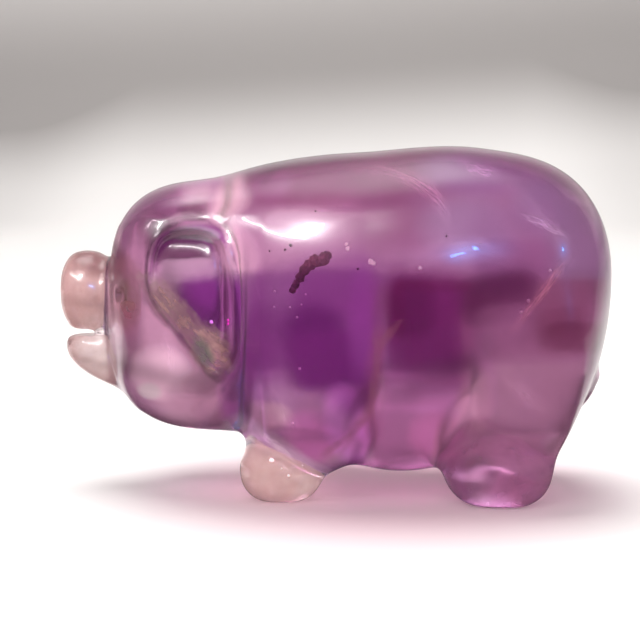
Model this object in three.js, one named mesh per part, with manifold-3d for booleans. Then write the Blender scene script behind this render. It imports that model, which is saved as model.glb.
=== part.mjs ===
// A piglet carved from one piece of amethyst, in millimetres.
// X runs from the snout (-X) to the rump (+X), Y across the body, and Z is up. The piglet stands on four flat soles.
// The form is built as the carver sees it: rounded masses that run into one another, then grooves ground into them,
// then the ears and the tail left standing proud, and last the holes that a small drill leaves. The skin of the ground
// form is found on a grid, and the soles and drilled holes are cut from it as true flats and pits.
import * as THREE from "three";
import { SimplifyModifier } from "three/addons/modifiers/SimplifyModifier.js";
import { mergeVertices } from "three/addons/utils/BufferGeometryUtils.js";
import Module from "manifold-3d";

// Overall size
const LENGTH = 42;
const HEIGHT = 26;
const HALF_WIDTH = 9.4;

// Heights of the main lines above the ground
const MID_SNOUT = 14.9;
const EYE_HEIGHT = 15;
const FOOT_Y = 5;

// Rounded masses: centre, half sizes, how square each is along X, Y and Z (2 is an ellipsoid), the pitch in degrees that
// lifts the snout end, and the width over which it runs into the rest. A mass off the middle plane is on both sides.
const MASSES = [
  { name: "barrel", at: [3.7, 0, 13.9], half: [12.4, HALF_WIDTH, 11.4], power: [2.5, 2.2, 2.5], pitch: -4, blend: 0 },
  { name: "withers", at: [-2.1, 0, 15.6], half: [8, 8.8, 9.2], power: [2.4, 2.2, 2.4], pitch: -5, blend: 2 },
  { name: "rump", at: [11.1, 0, 14.9], half: [9.8, 8.9, 10.8], power: [2.5, 2.2, 2.4], pitch: 5, blend: 2.5 },
  { name: "belly", at: [6.3, 0, 7], half: [7, 6.5, 4.3], power: [2.4, 2.2, 2.2], pitch: 0, blend: 2.5 },
  { name: "head", at: [-8.1, 0, 13.9], half: [8.8, 7.4, 9.6], power: [3, 2.2, 3.2], pitch: 0, blend: 2 },
  { name: "snout", at: [-18.9, 0, MID_SNOUT], half: [2, 3.1, 3.15], power: [3.2, 2, 2], pitch: 0, blend: 0.5 },
  { name: "muzzle", at: [-15.9, 0, 14.4], half: [3.2, 2.7, 2.6], power: [2.4, 2, 2], pitch: 0, blend: 1 },
  { name: "jaw", at: [-16.5, 0, 9.6], half: [4.4, 2.5, 2.1], power: [2.4, 2, 2.2], pitch: 22, blend: 0.8 },
  { name: "shoulder", at: [-1.1, 4.9, 9.8], half: [5.2, 4.6, 8.2], power: [2.2, 2.2, 2.2], pitch: 6, blend: 1.5 },
  { name: "ham", at: [14, 4.6, 8.8], half: [4.8, 4.6, 8.2], power: [2.3, 2.2, 2.3], pitch: 20, blend: 1.5 },
  { name: "fore foot", at: [-3.2, FOOT_Y, 2.2], half: [3.1, 2.7, 2.6], power: [2.2, 2.1, 2.2], pitch: 0, blend: 0.8 },
  { name: "hind foot", at: [12.7, FOOT_Y, 2.4], half: [3.9, 2.8, 2.8], power: [2.2, 2.1, 2.2], pitch: 0, blend: 1 },
];

// Grooves ground along straight strokes in the side view
const STROKES = [
  { name: "neck", from: [-5.4, 17.6], to: [-5.3, 5.8], width: 0.9, depth: 0.7 },
  { name: "fore hoof", from: [-5.2, 5.4], to: [-0.4, 2.2], width: 0.55, depth: 0.35 },
  { name: "hind hoof", from: [11, 4.2], to: [15.6, 2.2], width: 0.55, depth: 0.3 },
];
// The mark behind the elbow, an arc round the shoulder, with the angles in degrees between which it fades in and out
const ELBOW = { middle: [-2.8, 12.4], radius: 7.9, width: 0.8, depth: 0.3, fadeIn: [-65, -30], fadeOut: [5, 30] };
// The hollow of the flank, in front of the ham
const FLANK = { at: [10.9, 8], half: [1.3, 2.3], depth: 0.6 };
// Grooves and ears are worked only on the flanks, and fade out between these distances from the middle plane
const FLANK_FADE = [3.5, 6];

// The hanging ears in the side view: bowed front and back edges, a nearly flat crown, and a slanting cut that leaves the
// tip at the back, over the shoulder. The cut is bevelled, so its face shows from the side. A channel is ground round
// the ears.
const EAR = { front: -12.4, back: -6.4, crown: 19.8, tip: [-7.2, 9.1], cutFrom: [-12.5, 15.1], proud: 1, nearest: 2 };
const EAR_BOW = 0.75;
const EAR_CROWN_BOW = 0.06;
const EAR_BEVEL_WIDTH = 1.5;
const EAR_ROUNDING = { corner: 1, tip: 1.2, edge: 0.6, bevel: 0.3, root: 0.3 };
const EAR_CHANNEL = { width: 0.8, depth: 0.45 };

// The tail, one curl in low relief on the rump
const TAIL = { y: 0, z: 7.6, radius: 1.2, width: 0.65, proud: 0.6, onRumpFrom: 12 };

// Drilled and sawn details
const EYE = { x: -15.3, radius: 0.75, depth: 0.5 };
const NOSTRIL = { y: 1.15, radius: 0.55, depth: 0.7 };
const MOUTH = { z: 11.75, height: 0.5, deep: 2.4, wide: 4.6 };

const { clamp, degToRad, radToDeg, smoothstep } = THREE.MathUtils;

// Signed distance from one mass. It is exact on the skin, and close to true near it.
function massDistance({ at, half, power, pitch }, x, y, z) {
  const turn = degToRad(pitch);
  const dx = x - at[0];
  const dz = z - at[2];
  const local = [
    dx * Math.cos(turn) - dz * Math.sin(turn),
    (at[1] ? Math.abs(y) : y) - at[1],
    dx * Math.sin(turn) + dz * Math.cos(turn),
  ];
  let level = -1;
  let steep = Number.EPSILON;
  for (let axis = 0; axis < 3; axis++) {
    const share = Math.abs(local[axis]) / half[axis];
    level += share ** power[axis];
    steep += ((power[axis] * share ** (power[axis] - 1)) / half[axis]) ** 2;
  }
  return level / Math.sqrt(steep);
}

function smoothUnion(a, b, blend) {
  if (!blend) return Math.min(a, b);
  const overlap = Math.max(blend - Math.abs(a - b), 0) / blend;
  return Math.min(a, b) - (overlap * overlap * blend) / 4;
}

const smoothCommon = (a, b, blend) => -smoothUnion(-a, -b, blend);

// What a groove takes off at a distance from its middle line.
const groove = (away, { width, depth }) => depth * Math.exp(-((away / width) ** 2));

function awayFromStroke(x, z, { from: [x0, z0], to: [x1, z1] }) {
  const [runX, runZ] = [x1 - x0, z1 - z0];
  const along = clamp(((x - x0) * runX + (z - z0) * runZ) / (runX ** 2 + runZ ** 2), 0, 1);
  return Math.hypot(x - x0 - along * runX, z - z0 - along * runZ);
}

function elbowCut(x, z) {
  const [dx, dz] = [x - ELBOW.middle[0], z - ELBOW.middle[1]];
  const angle = radToDeg(Math.atan2(dz, dx));
  const present = smoothstep(angle, ...ELBOW.fadeIn) * (1 - smoothstep(angle, ...ELBOW.fadeOut));
  return present * groove(Math.hypot(dx, dz) - ELBOW.radius, ELBOW);
}

function flankCut(x, z) {
  const away = Math.hypot((x - FLANK.at[0]) / FLANK.half[0], (z - FLANK.at[1]) / FLANK.half[1]);
  return groove(away, { width: 1, depth: FLANK.depth });
}

// Distance beyond the ear's slanting cut in the side view, negative on the ear's side of it.
function earSlant(x, z) {
  const [cutX, cutZ] = EAR.cutFrom;
  const [tipX, tipZ] = EAR.tip;
  return ((x - cutX) * (tipZ - cutZ) - (z - cutZ) * (tipX - cutX)) / Math.hypot(tipX - cutX, tipZ - cutZ);
}

// Distance outside the ear's outline in the side view, negative inside it.
function earOutline(x, z) {
  const middle = (EAR.back + EAR.front) / 2;
  const tipZ = EAR.tip[1];
  const halfTall = (EAR.crown - tipZ) / 2;
  const bow = EAR_BOW * ((z - tipZ - halfTall) / halfTall) ** 2;
  const edges = Math.abs(x - middle) - (EAR.back - EAR.front) / 2 + bow;
  const crown = z - EAR.crown + EAR_CROWN_BOW * (x - middle) ** 2;
  return smoothCommon(smoothCommon(edges, crown, EAR_ROUNDING.corner), earSlant(x, z), EAR_ROUNDING.tip);
}

function tailRelief(x, y, z) {
  if (x < TAIL.onRumpFrom) return 0;
  const away = Math.hypot(y - TAIL.y, z - TAIL.z) - TAIL.radius;
  return groove(away, { width: TAIL.width, depth: TAIL.proud });
}

// Signed distance from the ground form, before anything is drilled.
function stone(x, y, z) {
  const side = Math.abs(y);
  const onFlank = smoothstep(side, ...FLANK_FADE);
  let d = Infinity;
  for (const mass of MASSES) d = smoothUnion(d, massDistance(mass, x, y, z), mass.blend);
  for (const stroke of STROKES) d += onFlank * groove(awayFromStroke(x, z, stroke), stroke);
  d += onFlank * (elbowCut(x, z) + flankCut(x, z));
  const outline = earOutline(x, z);
  const flap = smoothCommon(d - EAR.proud, Math.max(outline, EAR.nearest - side), EAR_ROUNDING.edge);
  const bevel = (EAR_BEVEL_WIDTH * d + EAR.proud * earSlant(x, z)) / Math.hypot(EAR_BEVEL_WIDTH, EAR.proud);
  const ear = smoothCommon(flap, bevel, EAR_ROUNDING.bevel);
  d += onFlank * groove(Math.max(outline, 0), EAR_CHANNEL);
  return smoothUnion(d, ear, EAR_ROUNDING.root) - tailRelief(x, y, z);
}

// Grid planes from low to just past high.
function planes(low, high, step) {
  const count = Math.ceil((high - low) / step) + 1;
  return Array.from({ length: count }, (_, n) => low + n * step);
}

// The skin where a distance function is zero: one vertex in each grid cell that it crosses, pulled onto it, and one
// quad across each grid edge that it crosses.
function skin(distance, grid) {
  const corner = (i, j, k) => (i * grid[1].length + j) * grid[2].length + k;
  const values = new Float64Array(grid[0].length * grid[1].length * grid[2].length);
  grid[0].forEach((x, i) =>
    grid[1].forEach((y, j) => grid[2].forEach((z, k) => (values[corner(i, j, k)] = distance(x, y, z)))),
  );
  const inside = (cell) => values[corner(...cell)] < 0;
  const place = (cell) => cell.map((n, axis) => grid[axis][n]);

  function eachCell(first, visit) {
    const last = grid.map((stops) => stops.length - 1);
    for (let i = first; i < last[0]; i++)
      for (let j = first; j < last[1]; j++) for (let k = first; k < last[2]; k++) visit([i, j, k]);
  }
  const stepped = (cell, ...axes) => cell.map((n, axis) => (axes.includes(axis) ? n + 1 : n));

  // Where only opposite corners of a grid square are inside, two sheets of the skin would meet along one edge. One of
  // the two corners is counted as outside there, which parts them.
  const JUST_OUTSIDE = 1e-3;
  function partSheets() {
    let parted = 0;
    eachCell(0, (cell) => {
      for (const [u, v] of [[0, 1], [1, 2], [2, 0]]) {
        const [a, b, c, e] = [cell, stepped(cell, u), stepped(cell, u, v), stepped(cell, v)];
        if (inside(a) !== inside(c) || inside(b) !== inside(e) || inside(a) === inside(b)) continue;
        values[corner(...(inside(a) ? a : b))] = JUST_OUTSIDE;
        parted++;
      }
    });
    return parted;
  }
  while (partSheets());

  // A vertex slides down the slope of the distance to the skin, and stays well inside its own cell.
  const NUDGE = 0.01;
  const PULLS = 4;
  const WALL = 0.01;
  function pulled(point, cell) {
    for (let turn = 0; turn < PULLS; turn++) {
      const d = distance(...point);
      const slope = point.map((_, axis) => {
        const beside = point.map((c, other) => (other === axis ? c + NUDGE : c));
        return (distance(...beside) - d) / NUDGE;
      });
      const move = d / Math.hypot(...slope) ** 2;
      point = point.map((c, axis) => {
        const [low, high] = [grid[axis][cell[axis]], grid[axis][cell[axis] + 1]];
        const wall = WALL * (high - low);
        return clamp(c - move * slope[axis], low + wall, high - wall);
      });
    }
    return point;
  }

  const cellEdges = [];
  for (let a = 0; a < 8; a++) for (const bit of [1, 2, 4]) if (!(a & bit)) cellEdges.push([a, a | bit]);
  const at = (cell, n) => [cell[0] + (n & 1), cell[1] + ((n >> 1) & 1), cell[2] + (n >> 2)];

  const points = [];
  const vertexOf = new Map();
  eachCell(0, (cell) => {
    const sum = [0, 0, 0];
    let crossings = 0;
    for (const [from, to] of cellEdges) {
      const [a, b] = [at(cell, from), at(cell, to)];
      if (inside(a) === inside(b)) continue;
      const [va, vb] = [values[corner(...a)], values[corner(...b)]];
      const [pa, pb] = [place(a), place(b)];
      pa.forEach((c, axis) => (sum[axis] += c + (va / (va - vb)) * (pb[axis] - c)));
      crossings++;
    }
    if (!crossings) return;
    vertexOf.set(corner(...cell), points.length);
    points.push(pulled(sum.map((c) => c / crossings), cell));
  });

  const faces = [];
  const apart = (a, b) => Math.hypot(...points[a].map((c, axis) => c - points[b][axis]));
  eachCell(1, (cell) => {
    for (let axis = 0; axis < 3; axis++) {
      if (inside(cell) === inside(stepped(cell, axis))) continue;
      const [u, v] = [(axis + 1) % 3, (axis + 2) % 3];
      const ring = [[0, 0], [1, 0], [1, 1], [0, 1]].map(([du, dv]) => {
        const neighbour = [...cell];
        neighbour[u] -= du;
        neighbour[v] -= dv;
        return vertexOf.get(corner(...neighbour));
      });
      if (!inside(cell)) ring.reverse();
      const [a, b, c, e] = apart(ring[0], ring[2]) <= apart(ring[1], ring[3]) ? ring : [...ring.slice(1), ring[0]];
      faces.push(a, b, c, a, c, e);
    }
  });
  const geometry = new THREE.BufferGeometry();
  geometry.setAttribute("position", new THREE.Float32BufferAttribute(points.flat(), 3));
  geometry.setIndex(faces);
  return geometry;
}

const wasm = await Module();
wasm.setup();

function solidFrom(geometry) {
  const plain = geometry.clone();
  plain.deleteAttribute("normal");
  plain.deleteAttribute("uv");
  const merged = mergeVertices(plain);
  return new wasm.Manifold(
    new wasm.Mesh({
      numProp: 3,
      vertProperties: merged.attributes.position.array,
      triVerts: new Uint32Array(merged.index.array),
    }),
  );
}

function geometryFrom(solid) {
  const { numProp, numVert, vertProperties, triVerts } = solid.getMesh();
  const positions = new Float32Array(numVert * 3);
  for (let i = 0; i < numVert; i++) positions.set(vertProperties.subarray(i * numProp, i * numProp + 3), i * 3);
  const geometry = new THREE.BufferGeometry();
  geometry.setAttribute("position", new THREE.BufferAttribute(positions, 3));
  geometry.setIndex(new THREE.BufferAttribute(triVerts, 1));
  return geometry;
}

// First place along a straight line where it enters the stone.
function skinAlong(from, direction) {
  const STEP = 0.02;
  let [x, y, z] = from;
  while (stone(x, y, z) > 0) [x, y, z] = [x + direction[0] * STEP, y + direction[1] * STEP, z + direction[2] * STEP];
  return [x, y, z];
}

// The round end of a drill that has sunk to a depth below a point of the skin.
function drilled([x, y, z], direction, { radius, depth }) {
  const back = radius - depth;
  const bit = new THREE.SphereGeometry(radius, 16, 10);
  return solidFrom(bit.translate(x - direction[0] * back, y - direction[1] * back, z - direction[2] * back));
}

// The ground form, with its smooth stretches in larger triangles than its carving. Its normals are kept in the
// reckoning, so that the turn of the skin decides where triangles may grow.
async function groundForm() {
  const step = 0.56;
  const vertices = 4200;
  const margin = 2.5;
  const halfWide = (Math.ceil((HALF_WIDTH + margin) / step) + 0.5) * step;
  const grid = [
    planes(-LENGTH / 2 - margin, LENGTH / 2 + margin, step),
    planes(-halfWide, halfWide, step),
    planes(-margin, HEIGHT + margin, step),
  ];
  const fine = skin(stone, grid);
  fine.computeVertexNormals();
  const excess = fine.attributes.position.count - vertices;
  return solidFrom(await new SimplifyModifier().modify(fine, excess));
}

async function carvedPiglet() {
  const ground = new THREE.BoxGeometry(2 * LENGTH, 2 * LENGTH, LENGTH).translate(0, 0, -LENGTH / 2);
  let piglet = (await groundForm()).subtract(solidFrom(ground));
  const slit = new THREE.BoxGeometry(2 * MOUTH.deep, MOUTH.wide, MOUTH.height);
  const [lips] = skinAlong([-LENGTH, 0, MOUTH.z], [1, 0, 0]);
  piglet = piglet.subtract(solidFrom(slit.translate(lips, 0, MOUTH.z)));
  for (const side of [-1, 1]) {
    const eye = skinAlong([EYE.x, side * HALF_WIDTH, EYE_HEIGHT], [0, -side, 0]);
    piglet = piglet.subtract(drilled(eye, [0, -side, 0], EYE));
    const nostril = skinAlong([-LENGTH, side * NOSTRIL.y, MID_SNOUT], [1, 0, 0]);
    piglet = piglet.subtract(drilled(nostril, [1, 0, 0], NOSTRIL));
  }
  return geometryFrom(piglet);
}

const stoneFinish = new THREE.MeshStandardMaterial({ color: "#8d5a93", roughness: 0.12, metalness: 0 });
const geometry = await carvedPiglet();
geometry.computeBoundingBox();
geometry.translate(-(geometry.boundingBox.min.x + geometry.boundingBox.max.x) / 2, 0, 0);

const piglet = new THREE.Mesh(geometry, stoneFinish);
piglet.name = "piglet";

const part = new THREE.Group();
part.add(piglet);
export default part;
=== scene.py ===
"""A piglet carved and polished from one piece of amethyst, on a plain pale sweep under soft light."""

import math

import bmesh
import bpy
from mathutils import Euler, Matrix, Vector, noise


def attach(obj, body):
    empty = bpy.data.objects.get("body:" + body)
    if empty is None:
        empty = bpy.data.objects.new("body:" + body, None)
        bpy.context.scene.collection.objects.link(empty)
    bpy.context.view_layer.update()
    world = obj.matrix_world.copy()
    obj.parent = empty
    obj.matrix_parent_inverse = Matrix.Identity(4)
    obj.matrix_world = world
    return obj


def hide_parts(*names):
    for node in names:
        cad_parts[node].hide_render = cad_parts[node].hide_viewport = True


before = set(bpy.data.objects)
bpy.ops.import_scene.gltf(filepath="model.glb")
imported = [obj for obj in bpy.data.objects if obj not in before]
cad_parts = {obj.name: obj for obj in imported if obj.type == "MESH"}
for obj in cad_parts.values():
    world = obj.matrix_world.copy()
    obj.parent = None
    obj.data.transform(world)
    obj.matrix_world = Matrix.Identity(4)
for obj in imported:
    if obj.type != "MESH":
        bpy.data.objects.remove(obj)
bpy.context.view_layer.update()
MM = 0.001


# The camera stands level with the flank, a little above it and a little towards the rump, close enough that
# the carving fills the picture.
AZIMUTH = math.radians(6)
ELEVATION = math.radians(6)
DISTANCE = 110 * MM
LOOK_AT = Vector((-0.9, 0, 12.8)) * MM
VIEW_WIDTH = 48.8 * MM
SENSOR = 36
CLIP_START = 1 * MM
CLIP_END = 5

bpy.ops.object.select_all(action="DESELECT")
towards_camera = Vector(
    (
        math.sin(AZIMUTH) * math.cos(ELEVATION),
        -math.cos(AZIMUTH) * math.cos(ELEVATION),
        math.sin(ELEVATION),
    )
)
bpy.ops.object.camera_add(location=LOOK_AT + towards_camera * DISTANCE)
camera = bpy.context.object
camera.rotation_euler = towards_camera.to_track_quat("Z", "Y").to_euler()
camera.data.sensor_width = SENSOR
camera.data.lens = SENSOR * DISTANCE / VIEW_WIDTH
camera.data.clip_start = CLIP_START
camera.data.clip_end = CLIP_END
bpy.context.scene.camera = camera


# The pale sweep that it stands on: one sheet of matt paper, white on the floor, with painted shade on the
# backdrop: a grey band low on it, and white again above. It curves up well behind the carving.
SWEEP_WIDTH = 1200 * MM
SWEEP_FRONT = -600 * MM
SWEEP_BACK = 380 * MM
SWEEP_CURVE = 120 * MM
SWEEP_CURVE_STEPS = 24
SWEEP_TOP = 700 * MM
PAPER_WHITE = "#fbf9f8"
PAPER_SHADE_GREY = "#aeaaa9"
PAPER_HIGH = "#f2efee"
GREY_FROM = 23 * MM
GREY_AT = 60 * MM
GREY_TO = 130 * MM
# The grey band comes lower towards the left, by this much for each unit of X.
GREY_TILT = -0.06
# Off to both sides, a share of the grey comes right down to the floor.
SIDES_MIDDLE = -34 * MM
SIDES_FROM = 60 * MM
SIDES_TO = 100 * MM
SIDES_UP_TO = 10 * MM
SIDES_GREY = 0.37
# The paper glows a little where it is low down, which keeps the floor white right up to the stone.
GLOW_UP_TO = 40 * MM
GLOW_MOST = 0.15
# Painted rosy shadow: the paper round the stone's feet is tinted rosy, as the light that comes through
# the stone tints its shadow.
PAINTED_ROSY_SHADOW = "#e49ab4"
ROSY_AT = (4 * MM, -2 * MM, 0)
ROSY_HALF = (24 * MM, 24 * MM, 10 * MM)
ROSY_FULL_WITHIN = 0.3
ROSY_MOST = 0.6


def pick(piece, kind, wanted):
    """In edit mode, selects just the vertices, edges or faces whose middle is wanted."""
    bpy.ops.mesh.select_all(action="DESELECT")
    shape = bmesh.from_edit_mesh(piece.data)
    for part in getattr(shape, kind):
        corners = [part.co] if kind == "verts" else [vertex.co for vertex in part.verts]
        if wanted(sum(corners, Vector()) / len(corners)):
            part.select_set(True)
    bmesh.update_edit_mesh(piece.data)


def linear(hex_colour):
    """A colour written as sRGB hex, as the linear RGBA that a shader wants."""
    channels = [int(hex_colour[i : i + 2], 16) / 255 for i in (1, 3, 5)]
    return [c / 12.92 if c <= 0.04045 else ((c + 0.055) / 1.055) ** 2.4 for c in channels] + [1]


def node(tree, kind, settings=None, inputs=None, links=None):
    """Adds a node with its settings, plain values and links."""
    made = tree.nodes.new(kind)
    for name, value in (settings or {}).items():
        setattr(made, name, value)
    for name, value in (inputs or {}).items():
        made.inputs[name].default_value = value
    for name, source in (links or {}).items():
        tree.links.new(source, made.inputs[name])
    return made


def empty_material(name):
    """A material with no nodes in it yet, and its tree."""
    material = bpy.data.materials.new(name)
    material.use_nodes = True
    material.node_tree.nodes.clear()
    return material, material.node_tree


bpy.ops.mesh.primitive_plane_add(size=1, location=(0, (SWEEP_FRONT + SWEEP_BACK) / 2, 0))
sweep = bpy.context.object
sweep.name = "pale_sweep"
sweep.scale = (SWEEP_WIDTH, SWEEP_BACK - SWEEP_FRONT, 1)
bpy.ops.object.transform_apply(location=True, rotation=False, scale=True)
bpy.ops.object.mode_set(mode="EDIT")
bpy.ops.mesh.select_mode(type="EDGE")
pick(sweep, "edges", lambda middle: middle.y > SWEEP_BACK - MM)
bpy.ops.mesh.extrude_region_move(TRANSFORM_OT_translate={"value": (0, 0, SWEEP_TOP)})
pick(sweep, "edges", lambda middle: middle.y > SWEEP_BACK - MM and middle.z < MM)
bpy.ops.mesh.bevel(offset=SWEEP_CURVE, segments=SWEEP_CURVE_STEPS)
bpy.ops.object.mode_set(mode="OBJECT")
bpy.ops.object.shade_smooth()

# Matt paper: it scatters light evenly and shows no gloss to speak of.
paper, tree = empty_material("matt paper with painted shade")
place = node(tree, "ShaderNodeTexCoord")
across = node(tree, "ShaderNodeSeparateXYZ", links={"Vector": place.outputs["Object"]})
height = node(
    tree,
    "ShaderNodeMath",
    {"operation": "MULTIPLY_ADD"},
    {1: GREY_TILT},
    {0: across.outputs["X"], 2: across.outputs["Z"]},
)
lower = node(
    tree,
    "ShaderNodeMapRange",
    {"interpolation_type": "SMOOTHSTEP"},
    {"From Min": GREY_FROM, "From Max": GREY_AT},
    {"Value": height.outputs["Value"]},
)
upper = node(
    tree,
    "ShaderNodeMapRange",
    {"interpolation_type": "SMOOTHSTEP"},
    {"From Min": GREY_AT, "From Max": GREY_TO},
    {"Value": height.outputs["Value"]},
)
off_middle = node(
    tree,
    "ShaderNodeMath",
    {"operation": "SUBTRACT"},
    {1: SIDES_MIDDLE},
    {0: across.outputs["X"]},
)
sideways = node(tree, "ShaderNodeMath", {"operation": "ABSOLUTE"}, links={0: off_middle.outputs["Value"]})
side = node(
    tree,
    "ShaderNodeMapRange",
    {"interpolation_type": "SMOOTHSTEP"},
    {"From Min": SIDES_FROM, "From Max": SIDES_TO, "To Max": SIDES_GREY},
    {"Value": sideways.outputs["Value"]},
)
risen = node(
    tree,
    "ShaderNodeMapRange",
    {"interpolation_type": "SMOOTHSTEP"},
    {"From Min": 0, "From Max": SIDES_UP_TO},
    {"Value": across.outputs["Z"]},
)
side_grey = node(
    tree,
    "ShaderNodeMath",
    {"operation": "MULTIPLY"},
    links={0: side.outputs["Result"], 1: risen.outputs["Result"]},
)
grey_share = node(
    tree,
    "ShaderNodeMath",
    {"operation": "ADD", "use_clamp": True},
    links={0: lower.outputs["Result"], 1: side_grey.outputs["Value"]},
)
# The grey is painted shade: the backdrop is darker where less light reaches it.
greyed = node(
    tree,
    "ShaderNodeMix",
    {"data_type": "RGBA"},
    {6: linear(PAPER_WHITE), 7: linear(PAPER_SHADE_GREY)},
    {"Factor": grey_share.outputs["Value"]},
)
tone = node(
    tree,
    "ShaderNodeMix",
    {"data_type": "RGBA"},
    {7: linear(PAPER_HIGH)},
    {"Factor": upper.outputs["Result"], 6: greyed.outputs[2]},
)
glow = node(
    tree,
    "ShaderNodeMapRange",
    {"interpolation_type": "SMOOTHSTEP"},
    {"From Min": 0, "From Max": GLOW_UP_TO, "To Min": GLOW_MOST, "To Max": 0},
    {"Value": height.outputs["Value"]},
)
rosy_place = node(
    tree,
    "ShaderNodeMapping",
    {"vector_type": "TEXTURE"},
    {"Location": ROSY_AT, "Scale": ROSY_HALF},
    {"Vector": place.outputs["Object"]},
)
rosy_away = node(
    tree,
    "ShaderNodeVectorMath",
    {"operation": "LENGTH"},
    links={0: rosy_place.outputs["Vector"]},
)
rosy_share = node(
    tree,
    "ShaderNodeMapRange",
    {"interpolation_type": "SMOOTHSTEP"},
    {"From Min": 1, "From Max": ROSY_FULL_WITHIN, "To Max": ROSY_MOST},
    {"Value": rosy_away.outputs["Value"]},
)
# Painted shadow: the paper round the stone's feet is tinted rosy.
rosy = node(
    tree,
    "ShaderNodeMix",
    {"data_type": "RGBA"},
    {7: linear(PAINTED_ROSY_SHADOW)},
    {"Factor": rosy_share.outputs["Result"], 6: tone.outputs[2]},
)
shader = node(
    tree,
    "ShaderNodeBsdfPrincipled",
    inputs={"Roughness": 0.9, "Specular IOR Level": 0.2, "Emission Color": linear(PAPER_WHITE)},
    links={"Base Color": rosy.outputs[2], "Emission Strength": glow.outputs["Result"]},
)
node(tree, "ShaderNodeOutputMaterial", links={"Surface": shader.outputs["BSDF"]})
sweep.data.materials.append(paper)


# The stone. One piece of amethyst, sawn and ground to shape, then polished to a wet shine. The colour lies
# in it in growth zones: pale above, violet below a level edge at half height, and nearly clear in the
# snout, jaw and fore feet.
DOUBLES = 0.002 * MM
VOXEL = 0.21 * MM
# How often each place is smoothed: the whole stone first, then these places once more.
FINE_SMOOTHING = 24
EAR_SMOOTHING = 110
NECK_SMOOTHING = 130
BROAD_SMOOTHING = 100
# Places on the stone, as ranges of x and z in mm. Snout, feet and tail keep their crisp forms when the rest
# is polished rounder. The ears are rubbed on their own, and the crease between neck and shoulder most.
EAR_BOX = ((-14, -6.3), (8, 20.6))
SNOUT_BOX = ((-22, -14.2), (6, 20))
FEET_BOX = ((-7.5, 17.5), (-1, 5.6))
TAIL_BOX = ((17, 22), (5, 10))
NECK_BOX = ((-6.8, -4.2), (3, 21))
# The shallow valley between shoulder and rump is brought up, so that back and flanks run on in one long
# curve. It is taken hold of in a strip at VALLEY_AT, from VALLEY_FLOOR up, all in mm.
VALLEY_AT = 3.2
VALLEY_STRIP = 0.2
VALLEY_FLOOR = 9
VALLEY_FILL = 0.2 * MM
VALLEY_REACH = 5 * MM
# The belly hangs a little lower in the middle. It is taken hold of in a strip at BELLY_AT, up to BELLY_TOP
# and out to BELLY_SIDES, all in mm.
BELLY_AT = 5.4
BELLY_STRIP = 0.4
BELLY_TOP = 4.5
BELLY_SIDES = 4
BELLY_DROP = 0.45 * MM
BELLY_REACH = 4.5 * MM


def modified(piece, kind, **settings):
    """Puts a modifier on a piece and applies it."""
    modifier = piece.modifiers.new(kind.title(), kind)
    for name, value in settings.items():
        setattr(modifier, name, value)
    with bpy.context.temp_override(object=piece, active_object=piece):
        bpy.ops.object.modifier_apply(modifier=modifier.name)


bpy.ops.object.select_all(action="DESELECT")
stone = bpy.data.objects.new("polished_stone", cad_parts["piglet"].data.copy())
bpy.context.collection.objects.link(stone)
bpy.context.view_layer.objects.active = stone
stone.select_set(True)
bpy.ops.object.mode_set(mode="EDIT")
bpy.ops.mesh.select_all(action="SELECT")
bpy.ops.mesh.remove_doubles(threshold=DOUBLES)
bpy.ops.object.mode_set(mode="OBJECT")
modified(stone, "REMESH", mode="VOXEL", voxel_size=VOXEL)
modified(stone, "SMOOTH", factor=0.5, iterations=FINE_SMOOTHING)


def rubbed(piece, name, wanted, iterations):
    """Smooths a piece where wanted, given x and z in mm."""
    group = piece.vertex_groups.new(name=name)
    for vertex in piece.data.vertices:
        if wanted(vertex.co.x / MM, vertex.co.z / MM):
            group.add([vertex.index], 1.0, "REPLACE")
    modified(piece, "SMOOTH", factor=0.5, iterations=iterations, vertex_group=name)


def within(box, x, z):
    """Whether x and z lie in a box of two ranges."""
    return box[0][0] < x < box[0][1] and box[1][0] < z < box[1][1]


def broad(x, z):
    """Whether x and z are away from all the carved forms."""
    return not any(within(box, x, z) for box in (EAR_BOX, SNOUT_BOX, FEET_BOX, TAIL_BOX))


def in_valley(at):
    """Whether a place in m is in the strip by which the valley is brought up."""
    return abs(at.x / MM - VALLEY_AT) < VALLEY_STRIP and at.z / MM > VALLEY_FLOOR


def at_belly(at):
    """Whether a place in m is in the strip by which the belly is lowered."""
    return abs(at.x / MM - BELLY_AT) < BELLY_STRIP and at.z / MM < BELLY_TOP and abs(at.y / MM) < BELLY_SIDES


rubbed(stone, "broad", broad, BROAD_SMOOTHING)
rubbed(stone, "ears", lambda x, z: within(EAR_BOX, x, z), EAR_SMOOTHING)
rubbed(stone, "neck", lambda x, z: within(NECK_BOX, x, z), NECK_SMOOTHING)
bpy.ops.object.mode_set(mode="EDIT")
bpy.ops.mesh.select_mode(type="VERT")
pick(stone, "verts", in_valley)
bpy.ops.transform.shrink_fatten(
    value=VALLEY_FILL,
    use_proportional_edit=True,
    proportional_edit_falloff="SMOOTH",
    proportional_size=VALLEY_REACH,
)
pick(stone, "verts", at_belly)
bpy.ops.transform.translate(
    value=(0, 0, -BELLY_DROP),
    use_proportional_edit=True,
    proportional_edit_falloff="SMOOTH",
    proportional_size=BELLY_REACH,
)
bpy.ops.object.mode_set(mode="OBJECT")
bpy.ops.object.shade_smooth()

# The growth layers lie a little askew in the stone, so that the camera looks straight along them: the quartz
# bends its line of sight from 6 degrees off square to these angles. Places in the layers are given in mm as
# (u, w), u along the flank towards the rump and w up.
LAYERS_TURN = (math.radians(3.89), 0, math.radians(-3.87))
# Every zone runs right through the stone: this is half its depth in mm.
ZONE_DEPTH = 1000
# How often the borders between zones bend in a mm, and the share of that at which they bend inwards.
BENDS_PER_MM = 0.45
THROUGH_SHARE = 0.12


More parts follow.
